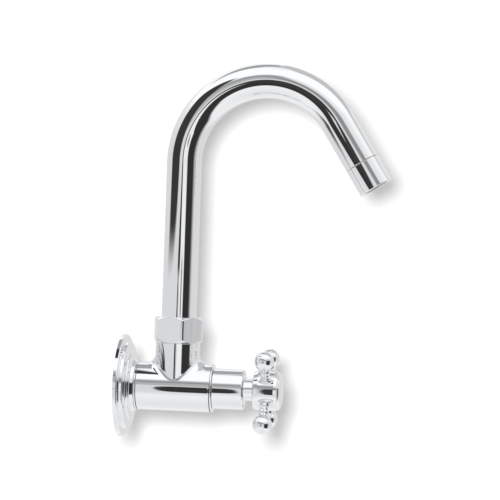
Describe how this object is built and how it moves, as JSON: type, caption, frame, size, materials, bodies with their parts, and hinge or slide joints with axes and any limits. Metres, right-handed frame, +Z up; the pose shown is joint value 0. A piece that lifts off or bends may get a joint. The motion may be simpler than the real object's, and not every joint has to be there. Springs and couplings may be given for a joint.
{
  "type": "wall faucet",
  "caption": "Chrome wall tap: stepped round flange, horizontal valve barrel with a ball-ended cross handle, and a tall gooseneck spout that swivels under a hexagon union nut.",
  "frame": {"origin": "on the barrel's axis in the plane of the finished wall, which is the flange's back face", "axes": "+X out of the wall along the barrel, +Z up along the spout's stem, +Y to the left seen from the handle's end towards the wall"},
  "size_m": [0.1695, 0.064, 0.2372],
  "materials": {
    "chrome_plate": "polished chrome plate on brass",
    "brass": "turned, unplated",
    "seal_rubber": "moulded",
    "acetal": "moulded",
    "stainless_steel": "bright"
  },
  "bodies": {
    "root": {"body_casting": "chrome_plate", "wall_flange": "chrome_plate", "headwork_gasket": "seal_rubber", "headwork_bush": "chrome_plate", "bonnet_sleeve": "chrome_plate", "swivel_nut": "chrome_plate", "spout_thrust_washer": "acetal", "spout_bearing_ring": "acetal"},
    "handle": {"spindle": "brass", "spindle_o_rings": "seal_rubber", "spindle_circlip": "stainless_steel", "handle_hub": "chrome_plate", "handle_arm_1": "chrome_plate", "handle_arm_2": "chrome_plate", "handle_arm_3": "chrome_plate", "handle_arm_4": "chrome_plate", "handle_screw": "stainless_steel", "handle_cap": "chrome_plate"},
    "plunger": {"plunger": "brass", "seat_washer": "seal_rubber", "washer_screw": "stainless_steel"},
    "spout": {"spout_tail": "brass", "spout_o_rings": "seal_rubber", "spout_tube": "chrome_plate", "outlet_nipple": "brass", "aerator_housing": "chrome_plate", "aerator_gasket": "seal_rubber", "aerator_insert": "acetal", "aerator_screens": "stainless_steel"}
  },
  "joints": [
    {"name": "handle_turn", "type": "hinge", "parent": "root", "child": "handle", "pos_m": [0.0917, 0, 0], "axis": [1, 0, 0], "range_deg": [0, 900]},
    {"name": "plunger_lift", "type": "slide", "parent": "root", "child": "plunger", "axis": [1, 0, 0], "range_m": [0, 0.005]},
    {"name": "spout_swivel", "type": "hinge", "parent": "root", "child": "spout", "pos_m": [0.035, 0, 0.04], "axis": [0, 0, 1], "range_deg": [-100, 100]}
  ],
  "couplings": [
    {"joint": "plunger_lift", "follows": "handle_turn", "m_per_rad": 0.0003183}
  ]
}
